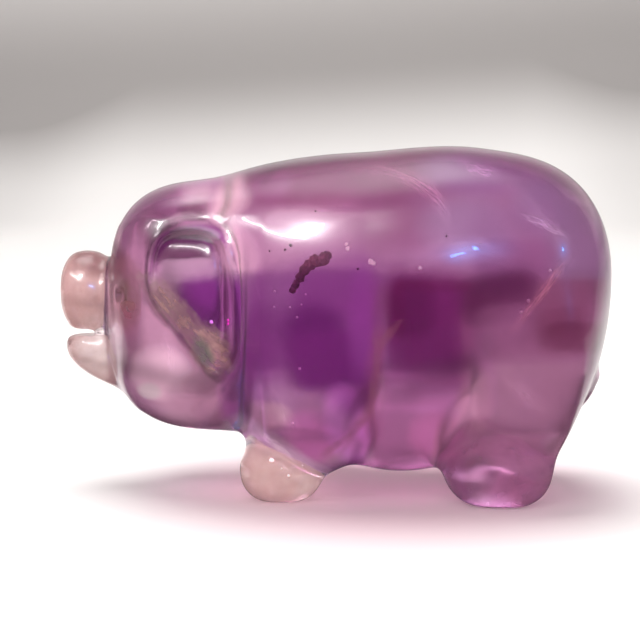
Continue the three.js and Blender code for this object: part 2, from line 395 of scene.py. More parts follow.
def zone_share(tree, vector, middle, half, turn=0, corner=2, softness=0.5, strength=1.0):
    """How much of a zone is at a point: nothing outside it, its strength inside, and a soft border between.

    A corner of 2 makes the zone an oval, and 4 or 8 ever more of a box.
    """
    local = node(
        tree,
        "ShaderNodeMapping",
        {"vector_type": "TEXTURE"},
        {
            "Location": (middle[0], 0, middle[1]),
            "Rotation": (0, math.radians(turn), 0),
            "Scale": (half[0], ZONE_DEPTH, half[1]),
        },
        {"Vector": vector},
    )
    for _ in range(int(math.log2(corner)) - 1):
        local = node(
            tree,
            "ShaderNodeVectorMath",
            {"operation": "MULTIPLY"},
            links={0: local.outputs["Vector"], 1: local.outputs["Vector"]},
        )
    away = node(
        tree,
        "ShaderNodeVectorMath",
        {"operation": "DOT_PRODUCT"},
        links={0: local.outputs["Vector"], 1: local.outputs["Vector"]},
    )
    share = node(
        tree,
        "ShaderNodeMapRange",
        {"interpolation_type": "SMOOTHSTEP"},
        {"From Min": (1 + softness) ** corner, "From Max": (1 - softness) ** corner, "To Max": strength},
        {"Value": away.outputs["Value"]},
    )
    return share.outputs["Result"]


def growth_frame(tree, wander_by):
    """Object coordinates in the frame of the growth layers, in mm, nearly the same right through the stone.

    Borders between zones wander by so many mm, as they do where a crystal grew unevenly.
    """
    place = node(tree, "ShaderNodeTexCoord")
    layers = node(
        tree,
        "ShaderNodeMapping",
        inputs={"Rotation": LAYERS_TURN, "Scale": (1 / MM, 1 / MM, 1 / MM)},
        links={"Vector": place.outputs["Object"]},
    )
    through = node(
        tree,
        "ShaderNodeVectorMath",
        {"operation": "MULTIPLY"},
        {1: (1, THROUGH_SHARE, 1)},
        {0: layers.outputs["Vector"]},
    )
    wander = node(
        tree,
        "ShaderNodeTexNoise",
        inputs={"Scale": BENDS_PER_MM, "Detail": 3, "Roughness": 0.5},
        links={"Vector": through.outputs["Vector"]},
    )
    moved = node(
        tree,
        "ShaderNodeVectorMath",
        {"operation": "MULTIPLY_ADD"},
        {1: (2 * wander_by, 0, 2 * wander_by)},
        {0: wander.outputs["Color"], 2: through.outputs["Vector"]},
    )
    back = node(
        tree,
        "ShaderNodeVectorMath",
        {"operation": "SUBTRACT"},
        {1: (wander_by, 0, wander_by)},
        {0: moved.outputs["Vector"]},
    )
    return back.outputs["Vector"]


# The tint where no zone lies is mottled in two tones, which change this often in a mm.
MAUVE = "#a26690"
DUSTY_MAUVE = "#966088"
MOTTLES_PER_MM = 0.35
# The zones, each with its name, colour, middle and half size as (u, w), and the turn and border where they
# aren't the usual ones. A later zone lies over the earlier ones.
GROWTH_ZONES = (
    # Rump, back and upper flank.
    ("lower rump", "#92607e", (15, 6.5), (5.5, 5.5), dict(strength=0.9)),
    ("back", "#6e2450", (1.5, 23.2), (9, 2), dict(turn=-6, softness=0.6, strength=0.9)),
    ("plum sheet", "#7a3866", (4.4, 20), (4, 1.7), dict(softness=0.6, strength=0.85)),
    ("lilac top", "#8c5490", (10.6, 23.8), (3.2, 1.6), dict(softness=0.6, strength=0.8)),
    ("upper flank", "#946e98", (10, 19.4), (3, 1.8), dict(softness=0.6, strength=0.8)),
    ("rump shoulder", "#846490", (15.4, 21.4), (2.2, 2.2), dict(softness=0.6, strength=0.9)),
    ("grey rump", "#7a6082", (18.4, 18), (2.6, 4), dict(softness=0.6, strength=0.9)),
    # Head, nape and the light neck.
    ("forehead", "#b4789e", (-13.4, 19), (2.8, 2.2), dict(turn=-40, softness=0.6, strength=0.9)),
    ("head top", "#b4569a", (-10.8, 21.4), (2, 1.2), dict(turn=-20, strength=0.8)),
    ("pale crown", "#fcccdc", (-8.3, 22.1), (2.1, 1.6), dict(strength=0.9)),
    ("plum back", "#601444", (-1.5, 23), (3.2, 1.3), dict(turn=-8, softness=0.6, strength=0.9)),
    ("nape", "#7a2a62", (-4.6, 22.9), (1.5, 1.3), dict(strength=0.9)),
    # Painted light: the rose glow is the pale glow round the window's highlight on the shoulder.
    ("rose glow", "#ba82a8", (-2.6, 18.6), (3.6, 1.8), dict(softness=0.6, strength=0.8)),
    ("neck light", "#e6accc", (-6.2, 17.4), (1.1, 2.3), dict(turn=-15, strength=0.95)),
    # Lower flank, belly and fore leg.
    ("lower flank", "#cc7cba", (6.4, 8.6), (3.8, 2.1), dict(corner=4, strength=0.9)),
    ("belly", "#8e547c", (5, 4.9), (2.4, 1.4), dict(corner=4, strength=0.8)),
    ("belly light", "#cc6ca8", (7.8, 4.8), (1.6, 1.4), dict(softness=0.7, strength=0.8)),
    ("lower neck", "#a26c9c", (-4.8, 7.6), (2.2, 2.6), dict(strength=0.9)),
    ("leg top", "#dcb4b8", (-4.4, 6.2), (1.6, 0.9), dict(strength=0.8)),
    ("leg", "#c86cb0", (-1.2, 4.8), (1.7, 1.6), dict(turn=30, strength=0.9)),
    # The violet band with its level upper edge, and what lies in it or hangs below it.
    ("band", "#7e427c", (-3.2, 13), (8, 2.9), dict(corner=8, softness=0.3, strength=0.92)),
    ("band's foot", "#bc86a6", (-11.6, 10.8), (3, 5), dict(turn=-32, corner=4, softness=0.35)),
    ("violet bulge", "#742e72", (0.8, 14.7), (2.4, 1.6), dict(corner=4, strength=0.9)),
    ("deep violet", "#5a185a", (-1, 12.2), (2, 1.7), dict(strength=0.95)),
    ("violet lobe", "#661e64", (0.2, 10.3), (2.8, 1.8), dict(turn=-8, corner=4, softness=0.3)),
    ("violet glow", "#7e327e", (2.5, 12), (0.9, 3.6), dict(softness=0.7)),
    ("bright violet", "#ff92ff", (1.3, 5.5), (1.1, 2), dict(turn=-12, softness=0.8, strength=0.95)),
    # The plum blocks behind the elbow, the dark band on the rump, and the pale flank below.
    ("plum block", "#681f5a", (7.3, 12.9), (2.7, 3), dict(corner=4, softness=0.35)),
    ("brown corner", "#58164a", (5.9, 14.1), (1.3, 1.6), dict(corner=4, strength=0.9)),
    ("gap", "#86406f", (10, 12.6), (0.7, 2.6), dict(strength=0.8)),
    ("second top", "#7a4074", (12.8, 17), (2.2, 1.4), dict(corner=4, strength=0.6)),
    ("second block", "#501a40", (12, 14.7), (2, 1.3), dict(turn=-8, corner=4, softness=0.6, strength=0.95)),
    ("under block", "#7c436a", (14, 12.3), (3, 1.6), dict(corner=4, strength=0.8)),
    ("rump band", "#753d5e", (17.4, 13.4), (2.7, 2.3), dict(corner=8, softness=0.25, strength=0.9)),
    ("rump dark", "#56203c", (17.5, 12.1), (2.1, 0.8), dict(corner=4, strength=0.85)),
    ("flank pale", "#b47a92", (10.2, 7.5), (1, 2.1), dict(strength=0.7)),
    # Cheek, chin and the neck under the ear.
    ("left cheek", "#5e2448", (-15, 12.4), (1.1, 2.8), dict(softness=0.8, strength=0.85)),
    ("cheek", "#ffcae6", (-12.4, 9), (1.8, 1.6), dict(strength=0.9)),
    ("chin", "#a56c8d", (-9.6, 7.2), (2, 1.4), dict(strength=0.8)),
    ("cheek shade", "#d8d8d4", (-13.3, 7.6), (0.8, 0.5), dict(strength=0.8)),
    ("under ear", "#84307e", (-6.9, 8.6), (1.1, 3), dict(softness=0.6, strength=0.75)),
    # The ear, from its fold downwards.
    ("ear shade", "#340828", (-10.8, 18.3), (2, 1.2), dict(turn=10, corner=4, strength=0.95)),
    ("ear light", "#c494b6", (-10, 16.5), (1.6, 0.7), dict(corner=4, softness=0.4, strength=0.9)),
    ("ear violet", "#802c84", (-8.6, 14.1), (2, 1.6), dict(corner=4, softness=0.35, strength=0.9)),
    # Elbow and hind foot.
    ("elbow shade", "#94487c", (2.7, 4.9), (0.9, 1.6), dict(turn=20, strength=0.8)),
    ("hoof top", "#dca4c0", (14, 4), (3.6, 1.1), dict(strength=0.85)),
    ("hoof light", "#e2b0cc", (13.6, 1.7), (2.6, 1.5), dict(corner=4, strength=0.85)),
    ("hoof front", "#6a4858", (10.6, 2.2), (1, 1.2), dict(strength=0.8)),
    # The old crack behind the elbow, brownish, and the sharp edges of the plum block.
    ("elbow top", "#743a5c", (3.7, 13.6), (0.6, 2), dict(turn=4, strength=0.5)),
    ("elbow", "#8a4668", (3.2, 10), (0.6, 2.2), dict(turn=8, strength=0.5)),
    ("elbow foot", "#8a4668", (2.2, 6.8), (0.6, 2), dict(turn=25, strength=0.5)),
    ("block's edge", "#5a1040", (4.9, 14), (0.4, 1.8), dict(corner=4, softness=0.2, strength=0.5)),
    ("block's top", "#5a1040", (7.3, 15.6), (2.4, 0.35), dict(corner=4, softness=0.2, strength=0.5)),
    # Nearly clear: snout, jaw and fore foot, with a brownish top to the snout.
    ("snout", "#f0cccc", (-19.5, 12), (3.6, 8), dict(corner=8, softness=0.2, strength=0.95)),
    ("snout top", "#8c5a64", (-17.4, 17.4), (2.4, 1.3), dict(turn=15, strength=0.9)),
    ("jaw", "#fff4f6", (-17.6, 10.6), (2, 2), dict(strength=0.95)),
    ("fore foot", "#fff4f6", (-4.3, 2), (3.6, 2.1), dict(turn=34, corner=4, softness=0.4)),
)

# Polished quartz: fully see-through, with the index of quartz. The body is a little blurred, as a soft
# polish over fine inner flaws blurs what lies behind, and the thin clear coat gives the crisp wet
# highlights.
quartz, tree = empty_material("polished amethyst")
growth = growth_frame(tree, wander_by=0.25)
mottling = node(
    tree,
    "ShaderNodeTexNoise",
    inputs={"Scale": MOTTLES_PER_MM, "Detail": 4, "Roughness": 0.55},
    links={"Vector": growth},
)
tint = node(
    tree,
    "ShaderNodeMix",
    {"data_type": "RGBA"},
    {6: linear(MAUVE), 7: linear(DUSTY_MAUVE)},
    {"Factor": mottling.outputs["Fac"]},
)
for name, colour, middle, half, border in GROWTH_ZONES:
    share = zone_share(tree, growth, middle, half, **border)
    tint = node(
        tree,
        "ShaderNodeMix",
        {"data_type": "RGBA", "label": name},
        {7: linear(colour)},
        {"Factor": share, 6: tint.outputs[2]},
    )
shader = node(
    tree,
    "ShaderNodeBsdfPrincipled",
    inputs={
        "Roughness": 0.22,
        "IOR": 1.544,
        "Transmission Weight": 1.0,
        "Coat Weight": 0.2,
        "Coat Roughness": 0.03,
    },
    links={"Base Color": tint.outputs[2]},
)
node(tree, "ShaderNodeOutputMaterial", links={"Surface": shader.outputs["BSDF"]})
stone.data.materials.clear()
stone.data.materials.append(quartz)
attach(stone, "root")
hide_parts("piglet")


# The clouds in the snout, the jaw and the feet. Fine haze fills the quartz there, right up to the polish:
# milky in the snout, jaw and fore feet, where the colour gives out, and mauve in the hind feet.
CLOUD_LUMP_SIZE = 1.2 * MM
CLOUD_LUMP_HEIGHT = 0.25 * MM
WISPS_IN_HAZE = 0.9 / MM
MILK = "#f4e0da"
MILK_SHADE = "#c09a98"
ROSY_MILK = "#ffeae0"
ROSY_MILK_SHADE = "#dcaaa6"
MAUVE_HAZE = "#dcb0cc"
MAUVE_HAZE_SHADE = "#a87494"


def lumpy(piece, size, height, seed):
    """Moves a piece's skin in and out by a soft noise, with lumps of a size and a height."""
    for vertex in piece.data.vertices:
        swell = noise.noise(vertex.co / size + Vector((seed, 0, 0)))
        vertex.co += vertex.normal * swell * height


def clouded(name, shade, pale):
    """Clouded quartz: bubbles too fine to see scatter the light, so it is soft and without gloss.

    Wisps of the pale tone run through the shade. The glow stands for light that goes round inside.
    """
    haze, tree = empty_material(name)
    place = node(tree, "ShaderNodeTexCoord")
    wisps = node(
        tree,
        "ShaderNodeTexNoise",
        inputs={"Scale": WISPS_IN_HAZE, "Detail": 5, "Roughness": 0.6},
        links={"Vector": place.outputs["Object"]},
    )
    milk = node(
        tree,
        "ShaderNodeMix",
        {"data_type": "RGBA"},
        {6: linear(shade), 7: linear(pale)},
        {"Factor": wisps.outputs["Fac"]},
    )
    shader = node(
        tree,
        "ShaderNodeBsdfPrincipled",
        inputs={
            "Roughness": 0.8,
            "Specular IOR Level": 0,
            "Alpha": 0.45,
            "Emission Color": linear(pale),
            "Emission Strength": 0.2,
        },
        links={"Base Color": milk.outputs[2]},
    )
    node(tree, "ShaderNodeOutputMaterial", links={"Surface": shader.outputs["BSDF"]})
    return haze


milky = clouded("milky quartz", MILK_SHADE, MILK)
rosy_milky = clouded("rosy milky quartz", ROSY_MILK_SHADE, ROSY_MILK)
mauve_haze = clouded("clouded amethyst", MAUVE_HAZE_SHADE, MAUVE_HAZE)
# Name, finish, and middle and half size in mm.
CLOUDS = (
    ("snout_cloud", milky, (-18.6, 0, 14.9), (1.75, 2.75, 2.8)),
    ("jaw_cloud", milky, (-17.2, 0, 9.9), (2.9, 2.0, 1.35)),
    ("near_foot_cloud", rosy_milky, (-3.2, -5, 2.3), (2.6, 2.2, 2.0)),
    ("far_foot_cloud", rosy_milky, (-3.2, 5, 2.3), (2.6, 2.2, 2.0)),
    ("near_hind_foot_cloud", mauve_haze, (12.8, -4.8, 2.9), (3.1, 2.2, 2.5)),
    ("far_hind_foot_cloud", mauve_haze, (12.8, 4.8, 2.9), (3.1, 2.2, 2.5)),
)
for seed, (name, finish, middle, half) in enumerate(CLOUDS):
    bpy.ops.object.select_all(action="DESELECT")
    bpy.ops.mesh.primitive_ico_sphere_add(subdivisions=5, radius=1, location=Vector(middle) * MM)
    cloud = bpy.context.object
    cloud.name = name
    cloud.scale = Vector(half) * MM
    bpy.ops.object.transform_apply(location=True, rotation=False, scale=True)
    lumpy(cloud, CLOUD_LUMP_SIZE, CLOUD_LUMP_HEIGHT, seed)
    bpy.ops.object.shade_smooth()
    cloud.data.materials.append(finish)
    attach(cloud, "root")


# The inclusion: a lumpy grain of dark reddish brown iron oxide, caught in the crystal just under the
# shoulder.
from_layers = Euler(LAYERS_TURN).to_matrix().inverted()
onward = from_layers @ Vector((0, 1, 0))
# A place well clear of the near flank, in mm across the layers.
OUTSIDE = -40


def in_stone(u, w, depth):
    """The point at a depth in mm under the polish of the near flank, at (u, w)."""
    outside = from_layers @ Vector((u, OUTSIDE, w)) * MM
    _, entry, _, _ = stone.ray_cast(outside, onward)
    return entry + onward * depth * MM


INCLUSION_DEPTH = 0.7
INCLUSION_VOXEL = 0.05 * MM
GRAINS_IN_RUST = 4 / MM
# Both browns are pale here, because the violet quartz over them darkens them.
RUST = "#9c5676"
PALE_RUST = "#cc92b0"
# Its lumps, from the thick head down to the thin tail: u and w of each, and its radius.
INCLUSION_LUMPS = (
    (-0.1, 17.6, 0.3),
    (-0.4, 17.35, 0.42),
    (-0.9, 17.2, 0.45),
    (-1.3, 16.95, 0.38),
    (-1.7, 16.55, 0.4),
    (-2.0, 16.05, 0.34),
    (-2.3, 15.6, 0.28),
    (-2.5, 15.2, 0.2),
)

bpy.ops.object.select_all(action="DESELECT")
lumps = []
for u, w, radius in INCLUSION_LUMPS:
    bpy.ops.mesh.primitive_uv_sphere_add(segments=32, ring_count=24, radius=radius * MM)
    lump = bpy.context.object
    lump.location = in_stone(u, w, INCLUSION_DEPTH)
    lumps.append(lump)
for lump in lumps:
    lump.select_set(True)
bpy.ops.object.join()
inclusion = bpy.context.object
inclusion.name = "dark_inclusion"
bpy.ops.object.transform_apply(location=True, rotation=False, scale=False)
modified(inclusion, "REMESH", mode="VOXEL", voxel_size=INCLUSION_VOXEL)
lumpy(inclusion, size=0.5 * MM, height=0.16 * MM, seed=11)
lumpy(inclusion, size=0.2 * MM, height=0.08 * MM, seed=12)
bpy.ops.object.shade_smooth()

# Iron oxide: matt, and mottled by its fine grain.
rust, tree = empty_material("iron oxide grain")
place = node(tree, "ShaderNodeTexCoord")
grain = node(
    tree,
    "ShaderNodeTexNoise",
    inputs={"Scale": GRAINS_IN_RUST, "Detail": 6},
    links={"Vector": place.outputs["Object"]},
)
brown = node(
    tree,
    "ShaderNodeMix",
    {"data_type": "RGBA"},
    {6: linear(RUST), 7: linear(PALE_RUST)},
    {"Factor": grain.outputs["Fac"]},
)
shader = node(
    tree,
    "ShaderNodeBsdfPrincipled",
    inputs={"Roughness": 0.7},
    links={"Base Color": brown.outputs[2]},
)
node(tree, "ShaderNodeOutputMaterial", links={"Surface": shader.outputs["BSDF"]})
inclusion.data.materials.append(rust)
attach(inclusion, "root")


# The raw rind on the ears. Each ear was sawn off along a slant, and the cut was left as it broke: a rough
# tan band with a green-grey blotch near the tip. It is a skin on the stone, too thin to measure.
RIND_TAN = "#cca494"
RIND_BROWN = "#8c5c64"
RIND_GREEN = "#6c6c60"
RIND_LIFT = 0.03
# The ears in ranges of x and z, and how far off the middle plane they lie, in mm.
RIND_BOX = ((-13.6, -5.8), (7.6, 16.8))
RIND_OFF_MIDDLE = 3
# The slanting band, the wider tip and the blotch in it: middle and half size as (u, w), and turn.
RIND_TURN = -43
RIND_BAND = ((-10.6, 13.1), (0.85, 3.6), RIND_TURN)
RIND_TIP = ((-8.6, 11), (1.05, 1.5), -20)
RIND_BLOTCH = ((-9.1, 10.7), (0.55, 1.0), -30)
# Splinters lie along the band, this wide and this long, and the browns change this often in a mm.
SPLINTER_WIDTH = 0.4
SPLINTER_LENGTH = 0.9
BROWNS_PER_MM = 0.8
# Band and grit together come to this where the rind starts, and to this where it is at its densest.
RIND_STARTS = 0.65
RIND_FULL = 1.6
RIND_MOST = 0.85


def skin_patch(name, wanted, lift):
    """A patch of the stone's own skin, where wanted in mm, lifted off it by so many mm."""
    patch = bpy.data.objects.new(name, stone.data.copy())
    patch.data.name = name
    patch.data.materials.clear()
    bpy.context.collection.objects.link(patch)
    bpy.ops.object.select_all(action="DESELECT")
    bpy.context.view_layer.objects.active = patch
    patch.select_set(True)
    bpy.ops.object.mode_set(mode="EDIT")
    bpy.ops.mesh.select_mode(type="FACE")
    pick(patch, "faces", lambda middle: not wanted(middle / MM))
    bpy.ops.mesh.delete(type="FACE")
    bpy.ops.mesh.select_all(action="SELECT")
    bpy.ops.transform.shrink_fatten(value=lift * MM)
    bpy.ops.object.mode_set(mode="OBJECT")
    return patch


def on_ears(at):
    """Whether a place in mm is on one of the ears."""
    return within(RIND_BOX, at.x, at.z) and abs(at.y) > RIND_OFF_MIDDLE


rind = skin_patch("ear_rind", on_ears, RIND_LIFT)

# Broken quartz with weathered rind on it: matt, in fine splinters, and so thin that the violet shows
# through.
raw, tree = empty_material("raw quartz rind")
growth = growth_frame(tree, wander_by=0.35)
splinters = node(
    tree,
    "ShaderNodeMapping",
    {"vector_type": "TEXTURE"},
    {
        "Rotation": (0, math.radians(RIND_TURN), 0),
        "Scale": (SPLINTER_WIDTH, 1, SPLINTER_LENGTH),
    },
    {"Vector": growth},
)
grit = node(
    tree,
    "ShaderNodeTexNoise",
    inputs={"Scale": 1, "Detail": 2.5, "Roughness": 0.55},
    links={"Vector": splinters.outputs["Vector"]},
)
pits = node(
    tree,
    "ShaderNodeTexNoise",
    inputs={"Scale": BROWNS_PER_MM, "Detail": 2},
    links={"Vector": growth},
)
mottled = node(
    tree,
    "ShaderNodeMix",
    {"data_type": "RGBA"},
    {6: linear(RIND_BROWN), 7: linear(RIND_TAN)},
    {"Factor": pits.outputs["Fac"]},
)
green_share = zone_share(tree, growth, *RIND_BLOTCH, softness=0.6)
rind_tint = node(
    tree,
    "ShaderNodeMix",
    {"data_type": "RGBA"},
    {7: linear(RIND_GREEN)},
    {"Factor": green_share, 6: mottled.outputs[2]},
)
band_share = zone_share(tree, growth, *RIND_BAND, softness=0.9, strength=0.66)
tip_share = zone_share(tree, growth, *RIND_TIP, softness=0.8, strength=0.85)
both = node(tree, "ShaderNodeMath", {"operation": "MAXIMUM"}, links={0: band_share, 1: tip_share})
broken = node(
    tree,
    "ShaderNodeMath",
    {"operation": "ADD"},
    links={0: both.outputs["Value"], 1: grit.outputs["Fac"]},
)
cover = node(
    tree,
    "ShaderNodeMapRange",
    {"interpolation_type": "SMOOTHSTEP"},
    {"From Min": RIND_STARTS, "From Max": RIND_FULL, "To Max": RIND_MOST},
    {"Value": broken.outputs["Value"]},
)
bump = node(
    tree,
    "ShaderNodeBump",
    inputs={"Strength": 0.1, "Distance": 0.1 * MM},
    links={"Height": grit.outputs["Fac"]},
)
shader = node(
    tree,
    "ShaderNodeBsdfPrincipled",
    inputs={"Roughness": 0.75},
    links={
        "Base Color": rind_tint.outputs[2],
        "Alpha": cover.outputs["Result"],
        "Normal": bump.outputs["Normal"],
    },
)
node(tree, "ShaderNodeOutputMaterial", links={"Surface": shader.outputs["BSDF"]})
rind.data.materials.append(raw)
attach(rind, "root")


# The iron stain round each eye, where the snout runs into the cheek: a brownish film, strongest in the
# drilled pit.
STAIN_BROWN = "#904858"
PIT_BROWN = "#8c5454"
STAIN_LIFT = 0.02
# The eyes in ranges of x and z, and how far off the middle plane they lie, in mm.
STAIN_BOX = ((-17.2, -13.2), (11, 19))
STAIN_OFF_MIDDLE = 1.5
# Middle and half size of the stain and of the pit, as (u, w) in mm.
STAIN_ZONE = ((-15, 14.8), (1.05, 2))
PIT_ZONE = ((-14.9, 14.8), (0.7, 0.9))
PATCHES_PER_MM = 0.8


def round_eye(at):
    """Whether a place in mm is round one of the eyes."""
    return within(STAIN_BOX, at.x, at.z) and abs(at.y) > STAIN_OFF_MIDDLE


stain = skin_patch("eye_stain", round_eye, STAIN_LIFT)

# A dry film of iron oxide on polish: thin, uneven and without gloss of its own.
film, tree = empty_material("iron oxide film")
growth = growth_frame(tree, wander_by=0.25)
uneven = node(
    tree,
    "ShaderNodeTexNoise",
    inputs={"Scale": PATCHES_PER_MM, "Detail": 2},
    links={"Vector": growth},
)
pit_share = zone_share(tree, growth, *PIT_ZONE, softness=0.8)
stain_tint = node(
    tree,
    "ShaderNodeMix",
    {"data_type": "RGBA"},
    {6: linear(STAIN_BROWN), 7: linear(PIT_BROWN)},
    {"Factor": pit_share},
)
stain_share = zone_share(tree, growth, *STAIN_ZONE, softness=0.75, strength=1.2)
thin = node(
    tree,
    "ShaderNodeMath",
    {"operation": "MULTIPLY"},
    links={0: stain_share, 1: uneven.outputs["Fac"]},
)
shader = node(
    tree,
    "ShaderNodeBsdfPrincipled",
    inputs={"Roughness": 0.6},
    links={"Base Color": stain_tint.outputs[2], "Alpha": thin.outputs["Value"]},
)
node(tree, "ShaderNodeOutputMaterial", links={"Surface": shader.outputs["BSDF"]})
stain.data.materials.append(film)
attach(stain, "root")


# The healed cracks. Each is a thin wispy sheet that starts along a line just under the polish of the near
# flank and dives into the stone, whitish where it is clean and tan where iron got in. The sheets glow with
# painted light.

# How far under the polish each starts and how far it ripples, in mm, and how many ripples and wisps it has
# along and across.
VEIL_START = 0.12
VEIL_RIPPLE = 0.2
RIPPLES_PER_SHEET = (4, 2)
WISPS_PER_SHEET = (5, 12, 1)
# The noise at which a wisp starts, and at which it is densest.
WISP_STARTS = 0.35
WISP_FULL = 0.7
# The shares of the way from both ends, multiplied, come to a quarter midway. This makes it full there.
FULL_MIDWAY = 4
# Name, route, how deep it goes in mm, and how far it leans that deep. The first and last points of a route
# lie on the line, and those between pull it into a curve.
VEILS = (
    # The back arc is painted sheen: its glowing sheet draws the soft arc of light over the back.
    ("back_arc_veil", ((1.2, 24.4), (4.5, 24.6), (8.4, 23.8), (8.6, 19.8)), 1, (-0.6, -1.5)),
    ("rump_line_veil", ((12.8, 20.5), (16.8, 18.5)), 1, (0.2, 0.5)),
    ("crown_streak_veil", ((9, 23.7), (11.8, 22.7)), 1, (0.1, 0.9)),
)
FAINT_VEILS = (
    ("rump_top_veil", ((16, 21.8), (18.8, 20.7)), 1, (0, 0.8)),
    ("under_ear_veil", ((-7.7, 9.4), (-8.8, 7.4), (-10.2, 6.2)), 1, (1.2, -0.6)),
    ("cheek_veil", ((-12.1, 13.4), (-12.6, 10.8), (-12, 8.4)), 1, (1.5, 0)),
    ("shoulder_wisps", ((-5.5, 20.8), (-1, 22.6), (4, 21.4)), 2, (0.4, -2.2)),
    ("flank_wisps", ((5, 18), (9, 20.5), (13, 18)), 2, (0.4, -2)),
    ("haunch_wisps", ((11, 10.5), (12.5, 7), (15.5, 6)), 2, (1.4, 1)),
    ("chest_wisps", ((-4.9, 9.6), (-4.2, 7), (-3, 4.4)), 1.5, (1.6, 0.3)),
    ("haunch_oval", ((10.7, 9.8), (8.6, 7.6), (10.6, 5.2)), 1.5, (1.3, 0)),
    ("foot_wisps", ((-5.2, 5.4), (-3.6, 4.8), (-2.2, 2.8)), 1.5, (0.4, -0.8)),
    ("foot_wisps_low", ((-4.6, 3.2), (-3.4, 2.8), (-2.4, 1.8)), 1.5, (0.3, -0.5)),
    ("rump_wisps", ((13, 23), (16, 21), (18, 17)), 2, (-1.6, -0.8)),
)
STAINED_VEILS = (
    ("rump_crack_veil", ((16.4, 18.1), (14.6, 15.4), (12.2, 12.5)), 0.6, (0.6, -0.5)),
)


def on_route(route, share):
    """The point at a share of the way along a route: a Bezier curve of its points."""
    points = [Vector(point) for point in route]
    while len(points) > 1:
        points = [start.lerp(end, share) for start, end in zip(points, points[1:])]
    return points[0]


def healed_crack(name, route, reach, lean):
    """A grid bent along a route under the polish, which leans by so much of (u, w) over its reach inwards."""
    bpy.ops.object.select_all(action="DESELECT")
    bpy.ops.mesh.primitive_grid_add(x_subdivisions=32, y_subdivisions=8, size=1)
    sheet = bpy.context.object
    sheet.name = name
    for vertex in sheet.data.vertices:
        along = vertex.co.x + 0.5
        inwards = vertex.co.y + 0.5
        u, w = on_route(route, along) + Vector(lean) * inwards
        # The length of its name gives each sheet ripples of its own.
        ripple = noise.noise(
            Vector((RIPPLES_PER_SHEET[0] * along, RIPPLES_PER_SHEET[1] * inwards, len(name)))
        )
        vertex.co = in_stone(
            u + VEIL_RIPPLE * ripple,
            w + VEIL_RIPPLE * ripple,
            VEIL_START + reach * inwards,
        )
    bpy.ops.object.shade_smooth()
    return sheet


def veil_material(name, colour, most):
    """A healed crack: drops of fluid too fine to see, in wisps that thin out towards the sheet's edges.

    The glow stands for light that the drops catch.
    """
    veil, tree = empty_material(name)
    place = node(tree, "ShaderNodeTexCoord")
    along = node(
        tree,
        "ShaderNodeMapping",
        inputs={"Scale": WISPS_PER_SHEET},
        links={"Vector": place.outputs["UV"]},
    )
    wisps = node(
        tree,
        "ShaderNodeTexNoise",
        inputs={"Scale": 1, "Detail": 5, "Roughness": 0.65},
        links={"Vector": along.outputs["Vector"]},
    )
    cover = node(
        tree,
        "ShaderNodeMapRange",
        {"interpolation_type": "SMOOTHSTEP"},
        {"From Min": WISP_STARTS, "From Max": WISP_FULL, "To Max": most},
        {"Value": wisps.outputs["Fac"]},
    )
    cover = cover.outputs["Result"]
    spread = node(tree, "ShaderNodeSeparateXYZ", links={"Vector": place.outputs["UV"]})
    for axis in ("X", "Y"):
        other_end = node(
            tree,
            "ShaderNodeMath",
            {"operation": "SUBTRACT"},
            {0: 1},
            {1: spread.outputs[axis]},
        )
        between = node(
            tree,
            "ShaderNodeMath",
            {"operation": "MULTIPLY"},
            links={0: spread.outputs[axis], 1: other_end.outputs["Value"]},
        )
        full = node(
            tree,
            "ShaderNodeMath",
            {"operation": "MULTIPLY"},
            {1: FULL_MIDWAY},
            {0: between.outputs["Value"]},
        )
        thinned = node(
            tree,
            "ShaderNodeMath",
            {"operation": "MULTIPLY"},
            links={0: cover, 1: full.outputs["Value"]},
        )
        cover = thinned.outputs["Value"]
    shader = node(
        tree,
        "ShaderNodeBsdfPrincipled",
        inputs={
            "Base Color": linear(colour),
            "Roughness": 0.6,
            "Emission Color": linear(colour),
            "Emission Strength": 1,
        },
        links={"Alpha": cover},
    )
    node(tree, "ShaderNodeOutputMaterial", links={"Surface": shader.outputs["BSDF"]})
    return veil


# The veils of a kind, their finish, its colour, and how dense its wisps get.
VEIL_KINDS = (
    (VEILS, "healed crack in quartz", "#ffeaf2", 0.75),
    (FAINT_VEILS, "milky wisps in quartz", "#ffe6ee", 0.35),
    (STAINED_VEILS, "stained crack in quartz", "#f0c4c4", 1),
)
for veils, finish, colour, most in VEIL_KINDS:
    veil_finish = veil_material(finish, colour, most)
    for name, route, reach, lean in veils:
        sheet = healed_crack(name, route, reach, lean)
        sheet.data.materials.append(veil_finish)
        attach(sheet, "root")


# The tan seam at the elbow. An old crack comes out through the polish there, from the flank down to the
# fore leg, and iron oxide has filled it.
SEAM_BROWN = "#9c485c"
SEAM_PALE = "#a85c80"
SEAM_LIFT = 0.02
# The near elbow in ranges of x and z, and the y that it lies beyond, in mm.
SEAM_BOX = ((-1.5, 6.5), (2, 14))
SEAM_OFF_MIDDLE = -3
# The most that its filling covers, and how often that breaks up in a mm.
SEAM_COVER = 0.62
CRUMBS_PER_MM = 1.3
# The paler patch beside it, and how much of it is filled.
PALE_ZONE = ((3.6, 8), (0.4, 1.1))
PALE_COVER = 0.5
# Middle, half size and turn of its four stretches.
SEAM_STRETCHES = (
    ((3.95, 11.9), (0.22, 1.2), 35),
    ((3.2, 9.4), (0.24, 2.3), 4),
    ((2.2, 5.8), (0.24, 2.1), 30),
    ((0.6, 4.2), (0.2, 1.0), 60),
)


def at_elbow(at):
    """Whether a place in mm is round the near elbow."""
    return within(SEAM_BOX, at.x, at.z) and at.y < SEAM_OFF_MIDDLE


seam = skin_patch("elbow_seam", at_elbow, SEAM_LIFT)

